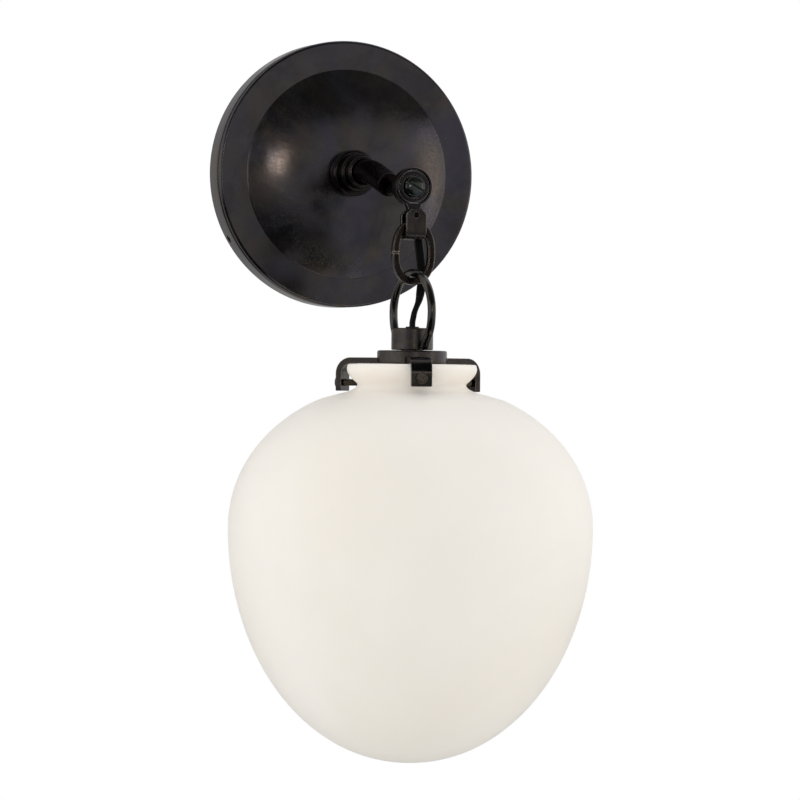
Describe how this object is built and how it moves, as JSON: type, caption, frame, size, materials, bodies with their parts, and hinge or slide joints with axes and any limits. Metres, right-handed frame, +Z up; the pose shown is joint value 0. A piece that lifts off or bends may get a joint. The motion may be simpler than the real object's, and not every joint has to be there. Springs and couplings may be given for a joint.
{
  "type": "hanging pendant wall sconce",
  "caption": "Wall light with a round wall plate, short bent arm, chain link and bow carrying a clawed holder and a closed acorn-shaped opal glass shade.",
  "frame": {"origin": "centre of the round wall plate on the wall plane", "axes": "+Z up, +Y into the wall, +X to the right as seen from the room"},
  "size_m": [0.1586, 0.1868, 0.3198],
  "materials": {
    "bronze_plate": "mottled dark bronze patina, satin gloss",
    "bronze_hanging": "rubbed dark bronze patina, satin gloss",
    "bronze_dark": "near-black bronze patina, satin gloss",
    "zinc": "zinc-plated sheet and turned parts, dull",
    "lamp_brass": "plain bright brass, lightly worn",
    "phenolic": "black moulded phenolic",
    "cord": "black twin flex, smooth",
    "lead_pale": "pale insulated lead",
    "green_lead": "green insulated lead",
    "green_screw": "green-dyed zinc-plated screw",
    "connector": "ivory moulded connector",
    "bulb_glass": "frosted glass",
    "opal_glass": "warm white opal glass, polished"
  },
  "bodies": {
    "wall_bracket": {"backplate": "bronze_plate", "mounting_pan": "zinc", "side_screw_top": "bronze_dark", "side_screw_left": "bronze_dark", "side_screw_right": "bronze_dark", "ground_screw": "green_screw", "ground_lead": "green_lead", "wire_connector_left": "connector", "wire_connector_right": "connector", "lead_left": "cord", "lead_right": "lead_pale", "supply_cord": "cord", "arm_collar": "bronze_plate", "arm_nipple": "zinc", "lock_washer": "zinc", "lock_nut": "zinc", "arm_tube": "bronze_dark", "arm_spindle": "bronze_dark", "arm_bushing": "phenolic", "knuckle": "bronze_hanging", "pivot_screw": "bronze_hanging", "cord_upper": "cord"},
    "shackle": {"shackle": "bronze_hanging", "shackle_pin": "bronze_dark"},
    "link": {"chain_link": "bronze_hanging", "cord_middle": "cord"},
    "lamp": {"bow": "bronze_hanging", "cord_lower": "cord", "hub": "bronze_dark", "hub_bushing": "phenolic", "holder_disc": "bronze_dark", "claw_front": "bronze_dark", "claw_right": "bronze_dark", "claw_left": "bronze_dark", "clamp_plate": "bronze_dark", "holder_stem": "zinc", "stem_nut": "zinc", "socket_body": "phenolic", "socket_shell": "lamp_brass", "socket_contact": "lamp_brass", "glass_shade": "opal_glass"},
    "bulb": {"bulb_base": "lamp_brass", "bulb_glass": "bulb_glass"},
    "front_screw": {"claw_screw_front": "bronze_dark"},
    "right_screw": {"claw_screw_right": "bronze_dark"},
    "left_screw": {"claw_screw_left": "bronze_dark"}
  },
  "joints": [
    {"name": "shackle_swing", "type": "hinge", "parent": "wall_bracket", "child": "shackle", "pos_m": [0, -0.1075, -0.0217], "axis": [0, 1, 0], "range_deg": [-30, 30], "deforming": ["cord_upper"]},
    {"name": "link_rock", "type": "hinge", "parent": "shackle", "child": "link", "pos_m": [0, -0.1075, -0.028], "axis": [1, 0, 0], "range_deg": [-6, 6], "deforming": ["cord_middle"]},
    {"name": "lamp_swing", "type": "hinge", "parent": "link", "child": "lamp", "pos_m": [0, -0.1075, -0.04675], "axis": [0, 1, 0], "range_deg": [-15, 15], "deforming": ["cord_lower"]},
    {"name": "bulb_turn", "type": "hinge", "parent": "lamp", "child": "bulb", "pos_m": [0, -0.1075, -0.12], "axis": [0, 0, 1], "continuous": true},
    {"name": "front_screw_out", "type": "slide", "parent": "lamp", "child": "front_screw", "axis": [-0.2079, -0.9781, 0], "range_m": [0, 0.004]},
    {"name": "right_screw_out", "type": "slide", "parent": "lamp", "child": "right_screw", "axis": [0.9511, 0.309, 0], "range_m": [0, 0.004]},
    {"name": "left_screw_out", "type": "slide", "parent": "lamp", "child": "left_screw", "axis": [-0.7431, 0.6691, 0], "range_m": [0, 0.004]}
  ]
}
